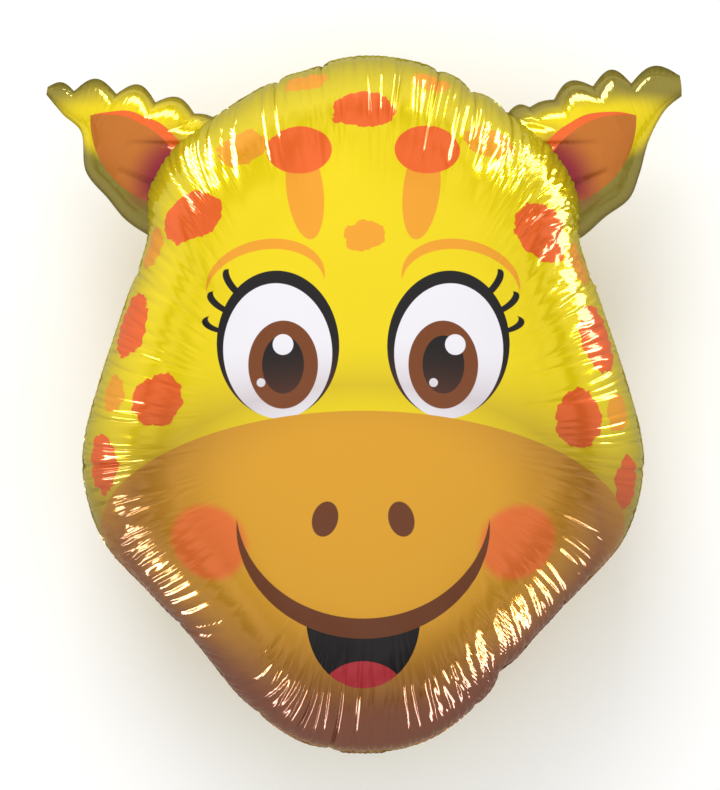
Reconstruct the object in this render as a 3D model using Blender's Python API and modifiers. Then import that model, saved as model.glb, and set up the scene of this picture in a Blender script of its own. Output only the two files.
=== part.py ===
"""Giraffe head foil balloon, inflated, lying on its back with the face up.

Metres, +Z up, the crown towards +Y and the chin towards -Y. The origin is the
middle of the flat spot on the back that the balloon lies on.
"""

import math

import bmesh
import bpy
from mathutils import Matrix, Vector

# Head: its outline runs from the crown down the right side to the chin, in shares
# of the head's height, and the left side mirrors it
HEAD_HEIGHT = 0.366
HEAD_HALF_DEPTH = 0.094
REST_SPOT_SHARE = 0.30
HEAD_OUTLINE = [
    (0.0, 0.530), (0.087, 0.516), (0.153, 0.486), (0.216, 0.446), (0.277, 0.402),
    (0.311, 0.341), (0.312, 0.267), (0.342, 0.180), (0.378, 0.072), (0.403, -0.022),
    (0.402, -0.090), (0.374, -0.169), (0.312, -0.239), (0.245, -0.310), (0.172, -0.398),
    (0.092, -0.456), (0.0, -0.473),
]
# The crown leans to the right by this share, from this height up
CROWN_SHIFT = 0.010
CROWN_SHIFT_FROM = 0.42
# Dents in the rim: where each is, how deep and how wide
RIM_DENTS = [
    ((0.192, -0.351), 0.011, 0.022),
    ((-0.085, 0.515), 0.005, 0.025),
    ((0.160, 0.490), 0.004, 0.020),
]
# Away from the rim the film rounds off to an oval: its half width and half height,
# how far up its middle lies, and how soon the film reaches it
OVAL_HALF_SIZE = (0.385, 0.500)
OVAL_RISE = 0.028
ROUNDING_POWER = 2.5
HEAD_SEGMENTS = 128
FRONT_RINGS = 10
BACK_RINGS = 9
# The back's rings stay this many times the flat spot's radius away from its middle
SPOT_MARGIN = 1.08
# Steps of a curve between two of its points, and of the film's section
CURVE_STEPS = 12
SECTION_SUBSTEPS = 24
FINE_RINGS = 200

# Puckers that the weld gathers round the rim
PUCKER_COUNT = 32
PUCKER_DEPTH = 0.0022
PUCKER_REACH = 0.45
PUCKER_WEAKEST = 0.55
PUCKER_VARIETY = 2.4

# Weld band where the two sheets of film are joined
WELD_WIDTH = 0.003
WELD_THICKNESS = 0.0008

# Ears: edges from the root, inside the head, out to the tip, as shares of the
# head's height. The upper edge runs through the creases, and each billow is
# the height of the bulge that follows a crease.
LEFT_EAR_UPPER = [
    (-0.180, 0.400), (-0.214, 0.443), (-0.243, 0.449), (-0.299, 0.465),
    (-0.355, 0.477), (-0.416, 0.481), (-0.454, 0.487),
]
LEFT_EAR_BILLOWS = [0.0, 0.002, 0.016, 0.020, 0.020, 0.010]
LEFT_EAR_LOWER = [
    (-0.262, 0.250), (-0.309, 0.273), (-0.343, 0.296), (-0.368, 0.326),
    (-0.400, 0.366), (-0.406, 0.421), (-0.432, 0.447), (-0.456, 0.476),
]
RIGHT_EAR_UPPER = [
    (0.180, 0.400), (0.212, 0.454), (0.240, 0.458), (0.275, 0.469),
    (0.331, 0.488), (0.386, 0.492), (0.456, 0.503),
]
RIGHT_EAR_BILLOWS = [0.0, 0.006, 0.003, 0.018, 0.022, 0.020]
RIGHT_EAR_LOWER = [
    (0.262, 0.250), (0.313, 0.269), (0.350, 0.300), (0.384, 0.326),
    (0.399, 0.362), (0.412, 0.410), (0.434, 0.452), (0.459, 0.474),
]
EAR_PLUMPNESS = 0.60
EAR_STATIONS = 30
EAR_SECTION_STEPS = 9
EAR_CREASE_POWER = 1.6
EAR_LEAST_INNER = 0.3
EAR_LEAN = math.radians(5)
EAR_LEAN_HEIGHT = 0.36

# Filling neck: the flat tail of film that closes itself, folded behind the chin.
# It follows the back for NECK_HUG, and its end is straight for NECK_TAIL.
NECK_WIDTH = 0.024
NECK_HUG = 0.030
NECK_TAIL = 0.026
NECK_THICKNESS = 0.0012
NECK_GAP = 0.0018
NECK_ROOT = 0.006
NECK_FOLD = 0.0016
NECK_STEPS = 8

FOIL_YELLOW = (0.90, 0.78, 0.03, 1.0)
FOIL_METALLIC = 0.6
FOIL_ROUGHNESS = 0.2
SHARP_ANGLE = math.radians(40)


def clear_scene():
    """Remove what the new file starts with."""
    for obj in list(bpy.data.objects):
        bpy.data.objects.remove(obj)


def smooth_curve(points, closed):
    """Points along a Catmull-Rom curve through the given ones."""
    found = []
    count = len(points)
    spans = count if closed else count - 1
    for span in range(spans):
        near = []
        for offset in (-1, 0, 1, 2):
            index = span + offset
            index = index % count if closed else min(max(index, 0), count - 1)
            near.append(Vector(points[index]))
        a, b, c, d = near
        for step in range(CURVE_STEPS):
            t = step / CURVE_STEPS
            found.append(0.5 * (2 * b + (c - a) * t + (2 * a - 5 * b + 4 * c - d) * t**2
                                + (3 * b - a - 3 * c + d) * t**3))
    if not closed:
        found.append(Vector(points[-1]))
    return found


def evenly_spaced(points, closed, count):
    """The same line with its points at equal distances along it."""
    line = points + [points[0]] if closed else points
    travelled = [0.0]
    for a, b in zip(line, line[1:]):
        travelled.append(travelled[-1] + (b - a).length)
    parts = count if closed else count - 1
    found = []
    span = 0
    for number in range(count):
        target = travelled[-1] * number / parts
        while span < len(line) - 2 and travelled[span + 1] < target:
            span += 1
        share = (target - travelled[span]) / (travelled[span + 1] - travelled[span])
        found.append(line[span].lerp(line[span + 1], min(max(share, 0.0), 1.0)))
    return found


def film_profile(rings):
    """Section of an inflated film that can't stretch, from its centre to its rim.

    Gives (radius, height) for each ring, both 1 at most. The rings lie at about
    equal distances along the film.
    """
    whole = math.sqrt(math.pi / 2)
    steps = rings * SECTION_SUBSTEPS
    heights = [0.0]
    for step in range(steps):
        w = whole * (step + 0.5) / steps
        heights.append(heights[-1] + math.sqrt(math.sin(w * w)) * w)
    found = []
    for ring in range(rings + 1):
        w = whole * ring / rings
        fallen = heights[ring * SECTION_SUBSTEPS] / heights[-1]
        found.append((math.sqrt(math.sin(w * w)), 1 - fallen))
    return found


def pucker_share(angle_share, distance_share):
    """How deep the rim's puckers are here: 1 in a crease at the rim, 0 on a bulge."""
    turn = angle_share * PUCKER_COUNT
    varied = math.sin(PUCKER_VARIETY * round(turn)) ** 2
    strength = PUCKER_WEAKEST + (1 - PUCKER_WEAKEST) * varied
    crease = 1 - abs(math.sin(math.pi * turn))
    reach = max(0.0, (distance_share - 1 + PUCKER_REACH) / PUCKER_REACH)
    return strength * crease * reach**2


def dented(point):
    """A point of the smooth outline, drawn in by the rim's dents."""
    depth = 0.0
    for place, dent_depth, width in RIM_DENTS:
        depth += dent_depth * math.exp(-((point - Vector(place)).length / width) ** 2)
    return point * (1 - depth / point.length)


def head_outline():
    """The head's rim as an evenly spaced closed line, anticlockwise from the crown."""
    left = [(-x, y) for x, y in HEAD_OUTLINE[1:-1]]
    right = [(x, y) for x, y in reversed(HEAD_OUTLINE[1:-1])]
    shares = [HEAD_OUTLINE[0]] + left + [HEAD_OUTLINE[-1]] + right
    shifted = []
    for x, y in shares:
        rise = max(0.0, y - CROWN_SHIFT_FROM) / (HEAD_OUTLINE[0][1] - CROWN_SHIFT_FROM)
        shifted.append(Vector((x + CROWN_SHIFT * rise, y)))
    line = [dented(p) * HEAD_HEIGHT for p in smooth_curve(shifted, True)]
    return evenly_spaced(line, True, HEAD_SEGMENTS)


def rounded_reach(direction):
    """Distance from the origin to the oval that the inner rings round off to."""
    wide, tall = (share * HEAD_HEIGHT for share in OVAL_HALF_SIZE)
    rise = OVAL_RISE * HEAD_HEIGHT
    a = (direction.x / wide) ** 2 + (direction.y / tall) ** 2
    b = direction.y * rise / tall**2
    c = (rise / tall) ** 2 - 1
    return (b + math.sqrt(b * b - a * c)) / a


def head_ring(mesh, outline, distance_share, radius, height):
    """One ring of the head's film: the rim drawn in to radius and raised to height."""
    ring = []
    for number, point in enumerate(outline):
        depth = PUCKER_DEPTH * pucker_share(number / len(outline), distance_share)
        direction = point.normalized()
        oval = rounded_reach(direction)
        reach = oval + (point.length - WELD_WIDTH - oval) * radius**ROUNDING_POWER
        flat = direction * (reach * radius - depth)
        lowered = math.copysign(max(abs(height) - depth, WELD_THICKNESS / 2), height)
        ring.append(mesh.verts.new((flat.x, flat.y, lowered)))
    return ring


def bridge(mesh, first, second):
    """A closed band of faces between two rings of as many points."""
    count = len(first)
    for number in range(count):
        after = (number + 1) % count
        mesh.faces.new((first[number], first[after], second[after], second[number]))


def finished_object(name, mesh, collection):
    """Close a bmesh up with its faces pointing out, as an object of that name."""
    bmesh.ops.recalc_face_normals(mesh, faces=mesh.faces)
    data = bpy.data.meshes.new(name)
    mesh.to_mesh(data)
    mesh.free()
    obj = bpy.data.objects.new(name, data)
    collection.objects.link(obj)
    return obj


def rest_depth():
    """Depth of the flat spot below the weld: the film's own depth at the spot's edge."""
    inside = [height for radius, height in film_profile(FINE_RINGS) if radius <= REST_SPOT_SHARE]
    return HEAD_HALF_DEPTH * inside[-1]


def front_rings(mesh, outline):
    """The front's rings from the middle of the face out to the weld."""
    rings = []
    for number, (radius, height) in enumerate(film_profile(FRONT_RINGS)):
        if number > 0:
            share = number / FRONT_RINGS
            rings.append(head_ring(mesh, outline, share, radius, HEAD_HALF_DEPTH * height))
    return rings


def weld_edges(mesh, outline):
    """The weld's outer edge, where the two films' thickness shows."""
    edges = []
    for side in (WELD_THICKNESS / 2, -WELD_THICKNESS / 2):
        edge = []
        for number, point in enumerate(outline):
            depth = PUCKER_DEPTH * pucker_share(number / len(outline), 1)
            flat = point.normalized() * (point.length - depth)
            edge.append(mesh.verts.new((flat.x, flat.y, side)))
        edges.append(edge)
    return edges


def back_rings(mesh, outline):
    """The back's rings from the weld in to the flat spot that the balloon lies on."""
    profile = film_profile(BACK_RINGS)
    rings = []
    for number in range(BACK_RINGS, 0, -1):
        radius, height = profile[number]
        if radius > REST_SPOT_SHARE * SPOT_MARGIN:
            share = number / BACK_RINGS
            rings.append(head_ring(mesh, outline, share, radius, -HEAD_HALF_DEPTH * height))
    rings.append(head_ring(mesh, outline, 0, REST_SPOT_SHARE, -rest_depth()))
    return rings


def make_head(collection):
    """The head: two films that meet at the weld, with a flat spot on the back."""
    mesh = bmesh.new()
    outline = head_outline()
    centre = mesh.verts.new((0, 0, HEAD_HALF_DEPTH))
    front = front_rings(mesh, outline)
    innermost = front[0]
    for number in range(HEAD_SEGMENTS):
        mesh.faces.new((centre, innermost[number], innermost[(number + 1) % HEAD_SEGMENTS]))
    rings = front + weld_edges(mesh, outline) + back_rings(mesh, outline)
    for first, second in zip(rings, rings[1:]):
        bridge(mesh, first, second)
    mesh.faces.new(rings[-1])
    return finished_object("foil_balloon", mesh, collection)


def billows_along(points, billows, count):
    """An ear's upper edge at even steps: the line through its creases, and how far each
    point bulges out from that line."""
    line = []
    bulges = []
    for number, height in enumerate(billows):
        a = Vector(points[number]) * HEAD_HEIGHT
        b = Vector(points[number + 1]) * HEAD_HEIGHT
        along = (b - a).normalized()
        out = Vector((-along.y, along.x))
        if out.y < 0:
            out = -out
        last = number == len(billows) - 1
        for step in range(CURVE_STEPS + last):
            t = step / CURVE_STEPS
            line.append(a.lerp(b, t))
            bulges.append(out * height * HEAD_HEIGHT * abs(math.sin(math.pi * t)))
    joined = [Vector((*p, *q)) for p, q in zip(line, bulges)]
    even = evenly_spaced(joined, False, count)
    return [(Vector(p[:2]), Vector(p[2:])) for p in even]


def ear_section(top, bulge, bottom):
    """One closed section across an ear, from the weld at its upper edge, over the front,
    to the weld at its lower edge and back underneath. Gives (x, y, height) points."""
    middle = (top + bottom) / 2
    half = (top - bottom).length / 2
    across = (top - bottom).normalized()
    inner = max(half - WELD_WIDTH, half * EAR_LEAST_INNER)
    plump = EAR_PLUMPNESS * inner
    half_weld = WELD_THICKNESS / 2
    front = [(half, half_weld)]
    for step in range(EAR_SECTION_STEPS + 1):
        turn = math.pi * step / EAR_SECTION_STEPS
        front.append((inner * math.cos(turn), max(plump * math.sin(turn), half_weld)))
    front.append((-half, half_weld))
    section = []
    for side in (1, -1):
        for reach, height in front[::side]:
            share = min(max(reach / half, 0), 1) ** EAR_CREASE_POWER
            flat = middle + across * reach + bulge * share
            section.append((flat.x, flat.y, side * height))
    return section


def make_ear(name, upper, billows, lower, collection):
    """An ear: a loft of lens-shaped sections from its root in the head to its tip."""
    tops = billows_along(upper, billows, EAR_STATIONS)
    lower_line = [p * HEAD_HEIGHT for p in smooth_curve(lower, False)]
    bottoms = evenly_spaced(lower_line, False, EAR_STATIONS)
    mesh = bmesh.new()
    rings = []
    for (top, bulge), bottom in zip(tops, bottoms):
        rings.append([mesh.verts.new(point) for point in ear_section(top, bulge, bottom)])
    for first, second in zip(rings, rings[1:]):
        bridge(mesh, first, second)
    mesh.faces.new(rings[0])
    mesh.faces.new(rings[-1])
    ear = finished_object(name, mesh, collection)
    hinge = Vector((0, EAR_LEAN_HEIGHT * HEAD_HEIGHT, 0))
    lean = Matrix.Rotation(EAR_LEAN, 4, (1, 0, 0))
    ear.data.transform(Matrix.Translation(hinge) @ lean @ Matrix.Translation(-hinge))
    return ear


def neck_line(chin):
    """The neck's side view, from inside the chin's rim round under the back, as (y, z)."""
    offset = NECK_GAP + NECK_THICKNESS / 2
    rim = chin - WELD_WIDTH
    profile = list(reversed(film_profile(FINE_RINGS)))
    travelled = 0.0
    below = []
    for (r0, h0), (r1, h1) in zip(profile, profile[1:]):
        start = Vector((-rim * r0, -HEAD_HALF_DEPTH * h0))
        end = Vector((-rim * r1, -HEAD_HALF_DEPTH * h1))
        along = (end - start).normalized()
        out = Vector((along.y, -along.x))
        travelled += (end - start).length
        if travelled > NECK_HUG:
            break
        if travelled > NECK_FOLD:
            below.append((start + end) / 2 + out * offset)
    root = [Vector((-(rim - NECK_ROOT), 0)), Vector((-(chin - NECK_FOLD), 0))]
    hugging = evenly_spaced(below, False, NECK_STEPS)
    heading = (hugging[-1] - hugging[-2]).normalized()
    return root + hugging + [hugging[-1] + heading * NECK_TAIL]


def make_neck(collection):
    """The filling neck, a flat strip that leaves the weld and folds behind the chin."""
    chin = -HEAD_OUTLINE[-1][1] * HEAD_HEIGHT
    mesh = bmesh.new()
    rows = []
    for point in neck_line(chin):
        rows.append([mesh.verts.new((side * NECK_WIDTH / 2, point.x, point.y)) for side in (-1, 1)])
    for first, second in zip(rows, rows[1:]):
        mesh.faces.new((first[0], first[1], second[1], second[0]))
    neck = finished_object("neck", mesh, collection)
    thicken = neck.modifiers.new("Film thickness", "SOLIDIFY")
    thicken.thickness = NECK_THICKNESS
    thicken.offset = 0
    thicken.use_even_offset = True
    return neck


def join(body, piece):
    """Make piece one solid with body, and remove it."""
    union = body.modifiers.new("Join " + piece.name, "BOOLEAN")
    union.operation = "UNION"
    union.object = piece
    bpy.context.view_layer.update()
    graph = bpy.context.evaluated_depsgraph_get()
    joined = bpy.data.meshes.new_from_object(body.evaluated_get(graph))
    body.modifiers.clear()
    body.data = joined
    bpy.data.objects.remove(piece)


def foil_material():
    """Printed metallised film."""
    material = bpy.data.materials.new("printed_foil")
    material.use_nodes = True
    shader = material.node_tree.nodes["Principled BSDF"]
    shader.inputs["Base Color"].default_value = FOIL_YELLOW
    shader.inputs["Metallic"].default_value = FOIL_METALLIC
    shader.inputs["Roughness"].default_value = FOIL_ROUGHNESS
    return material


def main():
    clear_scene()
    collection = bpy.data.collections.new("giraffe_head_foil_balloon")
    bpy.context.scene.collection.children.link(collection)
    balloon = make_head(collection)
    join(balloon, make_ear("left_ear", LEFT_EAR_UPPER, LEFT_EAR_BILLOWS, LEFT_EAR_LOWER, collection))
    join(balloon, make_ear("right_ear", RIGHT_EAR_UPPER, RIGHT_EAR_BILLOWS, RIGHT_EAR_LOWER, collection))
    join(balloon, make_neck(collection))
    balloon.data.transform(Matrix.Translation((0, 0, rest_depth())))
    balloon.data.materials.clear()
    balloon.data.materials.append(foil_material())
    balloon.data.shade_smooth()
    balloon.data.set_sharp_from_angle(angle=SHARP_ANGLE)


main()
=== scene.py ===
"""The looks of an inflated giraffe head foil balloon that lies on its back.

Metres, +Z up, the crown towards +Y and the chin towards -Y. The balloon is two
sheets of printed film that are welded to each other round the rim. Film can't
stretch, so where the sheets curve towards the weld they gather into creases
that run in from it, fine at the weld and wider further in.
"""

import math

import bpy
import numpy as np
from mathutils import Matrix, Vector


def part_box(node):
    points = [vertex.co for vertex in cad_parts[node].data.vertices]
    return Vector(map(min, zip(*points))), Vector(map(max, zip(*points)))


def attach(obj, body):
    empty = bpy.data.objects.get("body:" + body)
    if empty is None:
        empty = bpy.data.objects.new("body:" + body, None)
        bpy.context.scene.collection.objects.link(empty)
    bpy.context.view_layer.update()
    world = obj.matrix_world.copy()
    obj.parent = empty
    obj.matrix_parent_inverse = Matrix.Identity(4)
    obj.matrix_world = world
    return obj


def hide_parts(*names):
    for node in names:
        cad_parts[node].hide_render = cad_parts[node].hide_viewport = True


bl_info = {
    "name": "Foil balloon head",
    "version": (1, 0, 0),
    "blender": (4, 5, 0),
    "location": "3D View > Sidebar > Balloon",
    "description": "Builds an inflated foil balloon in the shape of a giraffe's head",
    "category": "Add Mesh",
}

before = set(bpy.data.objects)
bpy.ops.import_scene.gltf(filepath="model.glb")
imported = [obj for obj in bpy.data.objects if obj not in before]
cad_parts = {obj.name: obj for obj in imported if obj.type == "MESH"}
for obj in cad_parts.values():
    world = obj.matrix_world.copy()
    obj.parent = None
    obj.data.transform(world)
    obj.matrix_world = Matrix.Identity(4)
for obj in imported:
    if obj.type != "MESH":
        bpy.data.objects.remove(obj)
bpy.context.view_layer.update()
BODY = "root"
NODE = "foil_balloon"

# Outline of the head from the crown down the right side to the chin, in shares
# of the head's height. The left side mirrors it.
HEAD_OUTLINE = [
    (0.0, 0.530), (0.087, 0.516), (0.153, 0.486), (0.216, 0.446), (0.277, 0.402),
    (0.311, 0.341), (0.312, 0.267), (0.342, 0.180), (0.378, 0.072), (0.403, -0.022),
    (0.402, -0.090), (0.374, -0.169), (0.312, -0.239), (0.245, -0.310), (0.172, -0.398),
    (0.092, -0.456), (0.0, -0.473),
]
# The crown leans to the right by this share, from this height up
CROWN_SHIFT = 0.010
CROWN_SHIFT_FROM = 0.42
# Dents in the rim: where each is, how deep and how wide
RIM_DENTS = [
    ((0.192, -0.351), 0.011, 0.022),
    ((-0.085, 0.515), 0.005, 0.025),
    ((0.160, 0.490), 0.004, 0.020),
]
# Away from the rim the film rounds off to an oval
OVAL_HALF_SIZE = (0.385, 0.500)
OVAL_RISE = 0.028
ROUNDING_POWER = 2.5

# Ears: name, upper edge, billows and lower edge. The edges run from the root, inside
# the head, out to the tip. The upper one has its points in its creases, and the
# billows give how far the film swells out between one crease and the next.
EARS = [
    (
        "left_ear",
        [(-0.180, 0.400), (-0.214, 0.443), (-0.243, 0.449), (-0.299, 0.465),
         (-0.355, 0.477), (-0.416, 0.481), (-0.454, 0.487)],
        [0.0, 0.002, 0.016, 0.020, 0.020, 0.010],
        [(-0.262, 0.250), (-0.309, 0.273), (-0.343, 0.296), (-0.368, 0.326),
         (-0.400, 0.366), (-0.406, 0.421), (-0.432, 0.447), (-0.456, 0.476)],
    ),
    (
        "right_ear",
        [(0.180, 0.400), (0.212, 0.454), (0.240, 0.458), (0.275, 0.469),
         (0.331, 0.488), (0.386, 0.492), (0.456, 0.503)],
        [0.0, 0.006, 0.003, 0.018, 0.022, 0.020],
        [(0.262, 0.250), (0.313, 0.269), (0.350, 0.300), (0.384, 0.326),
         (0.399, 0.362), (0.412, 0.410), (0.434, 0.452), (0.459, 0.474)],
    ),
]
# Half thickness next to half width, and how closely the billows keep to the edge
EAR_PLUMPNESS = 0.60
EAR_BULGE_POWER = 4.0
EAR_LEAST_INNER = 0.3
EAR_LEAN = math.radians(5)
EAR_LEAN_HEIGHT = 0.36
EAR_STATIONS = 260
EAR_STEPS = 72
# Share of film that the ears gather at the upper edge and at the lower edge
EAR_UPPER_EXCESS = 0.010
EAR_LOWER_EXCESS = 0.004
EAR_EXCESS_DEPTH = 0.012
EAR_CREASE_SHARE = 0.28
# In the creases of the upper edge the film is pinched in
EAR_PINCH = 0.35
EAR_PINCH_WIDTH = 0.004
EAR_PINCH_POWER = 3
# Folds inside the right ear, mirrored in the left: from the root, to the end, how deep,
# and how wide on the crown's side and on the other
EAR_FOLDS = [
    ((0.086, 0.148), (0.124, 0.149), 0.0050, 0.0012, 0.0075),
    ((0.098, 0.122), (0.129, 0.135), 0.0042, 0.0011, 0.0065),
    ((0.088, 0.160), (0.108, 0.155), 0.0022, 0.0009, 0.0035),
]

# Mesh of the two sheets: lines that start square to the rim and turn towards the
# middle, and rows along the rim
RIM_LINES = 2688
LINE_STEPS = 120
STRAIGHT_STEPS = 16
STRAIGHT_SHARE = 0.30
SQUARE_REACH = 0.10
TURNED_REACH = 0.10
NORMAL_SMOOTHING = 0.012
FIRST_ROW = 0.0018
ROW_GROWTH = 1.06
CREASED_DEPTH = 0.128
NOMINAL_REACH = 0.18
SMOOTH_ROWS = 18
SMOOTH_LINE_STEP = 6
CURVE_STEPS = 40
SECTION_STEPS = 2001
BISECTIONS = 24
SLOPE_STEP = 0.001
TINY = 1e-9

# Creases: they stand about this much further apart for each metre from the weld
CREASE_SPREAD = 0.022
# Half the width of a crease, next to the distance between creases
HALF_CREASE = 0.62
CREASE_UNEVEN = 0.32
CREASE_DRIFT = 0.05
CREASE_STRENGTH = (0.60, 1.20)
# Each crease takes its reach this share of the range after the one before
GOLDEN_SHARE = 0.6180339887
REACH_UNEVEN = 0.15
REACH_LEAST = 0.85
SHORTEST_CREASE = 0.012
# Two parabolas that meet in a crease take up the gathered film when the square of
# depth over half width is this many times the share gathered
PARABOLA_GATHER = 1.5
CREASE_END_POWER = 4
# Main creases with a notch in the rim: direction from the middle in degrees, how far
# they run in, their strength, and how deep the notch is
MAIN_CREASES = [
    (104, 0.105, 1.7, 0.0022), (96.5, 0.090, 1.5, 0.0020), (78, 0.110, 1.8, 0.0020),
    (72, 0.095, 1.6, 0.0018), (65.5, 0.100, 1.5, 0.0014), (299, 0.115, 1.9, 0.0010),
    (292, 0.095, 1.5, 0.0012), (264, 0.100, 1.4, 0.0012), (250, 0.090, 1.3, 0.0008),
    (146, 0.100, 1.4, 0.0008), (33, 0.100, 1.4, 0.0008), (188, 0.090, 1.3, 0.0006),
    (351, 0.090, 1.3, 0.0006), (227, 0.110, 1.4, 0.0006), (318, 0.105, 1.4, 0.0006),
]
NOTCH_WIDTH = 0.0035
NOTCH_DEPTH = 0.030
# Between its notches the crown's rim swells by this much, this many degrees either
# side of a direction
CROWN_SWELL = 0.0012
CROWN_DIRECTION = 86
CROWN_HALF_SPAN = 22
CROWN_SPAN_POWER = 4
# Where creases slant: direction from the middle in degrees, how far round, and how much
SLANTS = [(122, 22, 0.34), (54, 20, -0.38), (234, 18, 0.32), (300, 20, 0.34)]
# Where the film is crumpled as well: place, how far round it, and how deep
CRUMPLES = [
    ((0.104, 0.098), 0.040, 0.00060), ((-0.122, -0.058), 0.016, 0.00060),
    ((0.052, -0.129), 0.016, 0.00040), ((0.0, 0.0), 0.400, 0.00012),
]
CRUMPLE_SIZE = 0.0028
CRUMPLE_PASSES = 2
# The weld holds the film, so a crease is shallow there and at full depth here
HELD_SHARE = 0.30
HELD_DEPTH = 0.006
# The creases' mean over twice this length is taken off, so that they don't thin the head
LEVEL_WINDOW = 0.014
# How far the rim follows the creases in, and how much it waves up and down
EDGE_SHARE = 0.75
RUFFLE = 0.0005
EDGE_THICKNESS = 0.0003
# Steps from the seed for what isn't drawn with the creases
RUFFLE_SEED = 1
EAR_SEED = 2
CRUMPLE_SEED = 10

# Filling neck, folded behind the chin
NECK_WIDTH = 0.024
NECK_HUG = 0.030
NECK_TAIL = 0.026
NECK_GAP = 0.0006
NECK_THICKNESS = 0.0010
# The higher this power is, the flatter the neck's middle
NECK_ROUND = 4
NECK_ROOT = 0.006
NECK_FOLD = 0.0016
NECK_COLUMNS = 60
NECK_ROWS = 70
# Its waves: height, and how many radians each runs through from the middle to a side
# and from the root to the end
NECK_WAVE = 0.00045
NECK_WAVES = [(9, 6), (-3, 17)]
# Its pleats at the chin: height, and the same two numbers
NECK_PLEAT = 0.00035
NECK_PLEATS = (13, 2)

# Print, in millimetres on the film: ovals are a middle, a half size and, for some,
# a turn in degrees, and what isn't in the middle is mirrored to the left
MILLIMETRES = 1000.0
INK_EDGE = 0.15
# How far an ink hides the metal under it, where it does
INK_COVER = {"dark": 1.0, "white": 1.0, "iris": 0.5, "nostril": 0.6}
DARK_PATCHES = [
    ((-92, 112), (18, 15)), ((97, 104), (18, 17)), ((-134, 58), (16, 19)),
    ((135, 50), (17, 20)), ((-108, 14), (16, 14)), ((114, 4), (15, 16)),
    ((-150, -22), (14, 17)), ((154, -34), (13, 16)), ((0, 172), (17, 14)),
]
LIGHT_PATCHES = [
    ((-66, 152), (15, 12)), ((70, 156), (15, 12)), ((-124, 104), (11, 13)),
    ((128, 96), (12, 13)), ((-142, 18), (10, 11)), ((146, 8), (11, 11)),
    ((-34, 204), (13, 11)), ((40, 202), (12, 11)), ((0, 96), (10, 8)),
]
BACK_PATCHES = [
    ((-70, 120), (24, 20)), ((62, 128), (22, 24)), ((-10, 62), (26, 22)),
    ((-108, 34), (22, 25)), ((92, 44), (25, 20)), ((-44, -28), (24, 22)),
    ((54, -36), (22, 25)), ((-126, -52), (19, 17)), ((128, -44), (18, 20)),
    ((6, -104), (24, 19)), ((-64, -112), (18, 19)), ((74, -118), (19, 18)),
    ((4, 178), (22, 17)), ((-140, 100), (16, 18)), ((138, 104), (17, 15)),
]
PATCH_EDGE_SCALE = 150.0
PATCH_EDGE_DETAIL = 3.0
FRONT_PATCH_EDGE = 9.0
BACK_PATCH_EDGE = 12.0
# Painted shade: beyond this oval the coat darkens towards the weld, as the steep film mirrors a
# dim room
FACE_SHADE = ((0, 10), (160, 195))
FACE_SHADE_EDGE = 52
MUZZLE = ((0, -108), (176, 116))
# Beyond this oval the muzzle turns brown: the print's brown, deepened by painted shade at the
# lower rim
MUZZLE_LIGHT = ((0, -46), (114, 80))
MUZZLE_LIGHT_EDGE = 38
CHEEK = ((80, -60), (21, 20))
CHEEK_EDGE = 3.0
NOSTRIL = ((19, -46), (6.4, 9.0), 16)
SMILE = ((0, -52), (64, 56))
SMILE_CUT = (0, 11)
MOUTH = ((0, -98), (29, 40))
TONGUE = ((0, -140), (21, 19))
HORN = ((30, 122), (9.5, 28), -8)
HORN_TOP = ((34, 146), (18, 15), 20)
EYE = ((43, 38), (27.5, 34.0), -6)
LID = ((43, 41.5), (31.0, 37.0), -6)
IRIS = ((40, 31), (17.5, 22.0))
PUPIL = ((40, 31), (10.5, 14.5))
BROW = ((50, 74), (31, 21), -8)
BROW_CUT = (0, -5.5)
# Lashes: distance from the lid's middle and direction in degrees
LASHES = [(30, 20), (34, 38), (36, 56)]
# A lash is an oval with the same oval, moved by LASH_CUT, cut out of it. It is turned
# by its own direction and LASH_LEAN.
LASH_HALF_SIZE = (4.6, 11.5)
LASH_CUT = (-3.4, 1.5)
LASH_LEAN = -100
# Two lights in each eye, not mirrored: place from the eye's middle, and radius
EYE_LIGHTS = [((3, 3), 5.2), ((-8, -16), 2.2)]
# Yellow in the middle of each ear; round it, painted shade that darkens towards the ear's edges
EAR_COAT = ((110, 151), (55, 16.5), 14)
EAR_COAT_EDGE = 4.0
INNER_EAR = ((114.0, 140.5), (37, 19), 38)
# The inner ear's dark band is what the same leaf leaves bare when it is turned about
# the tip by this many degrees
INNER_EAR_BAND = 8
INNER_EAR_ROOT = ((98, 128), (20, 24), 20)
INNER_EAR_ROOT_EDGE = 9.0
NECK_SHADE = ((0, -186), (40, 20))
NECK_SHADE_EDGE = 3.0

# Film under the inks
METAL = 0.27
METAL_UNDER_INK = 0.05
ROUGHNESS = 0.09
ROUGHNESS_RANGE = 0.05
FILM_NOISE_SCALE = 240.0
FILM_NOISE_DETAIL = 3.0
FILM_BUMP = 0.05
FILM_BUMP_DISTANCE = 0.001
# Values that are the same all over the film: how it mirrors at a low angle, and its
# clear coat
GLOSS = {
    "Specular IOR Level": 0.0,
    "Specular Tint": (0.40, 0.34, 0.28, 1.0),
    "Coat Weight": 0.15,
    "Coat IOR": 2.5,
    "Coat Roughness": 0.05,
}

# Floor: it reaches far enough to fill low views too
FLOOR_SIZE = 120.0
FLOOR_NOISE_SCALE = 30.0
FLOOR_NOISE_DETAIL = 2.0
FLOOR_SHADE = 0.985
FLOOR_ROUGHNESS = 0.9

# Lights: the overhead light, and the key light beyond the crown
OVERHEAD_PLACE = (0.0, 0.0, 2.3)
OVERHEAD_SIZE = (3.0, 3.0)
KEY_PLACE = (-0.25, 1.15, 1.35)
KEY_SIZE = (0.9, 0.9)
# How many patches of dark and light the walls have in a radius, how far they differ
# and how soft their edges are
WALL_PATCHES = 4.0
WALL_CONTRAST = 1.4
WALL_EDGE = (0.35, 0.65)
# The room brightens between these heights of the direction, from 0 level to 1 upright
ROOM_SLOPE = (0.10, 0.95)
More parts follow.
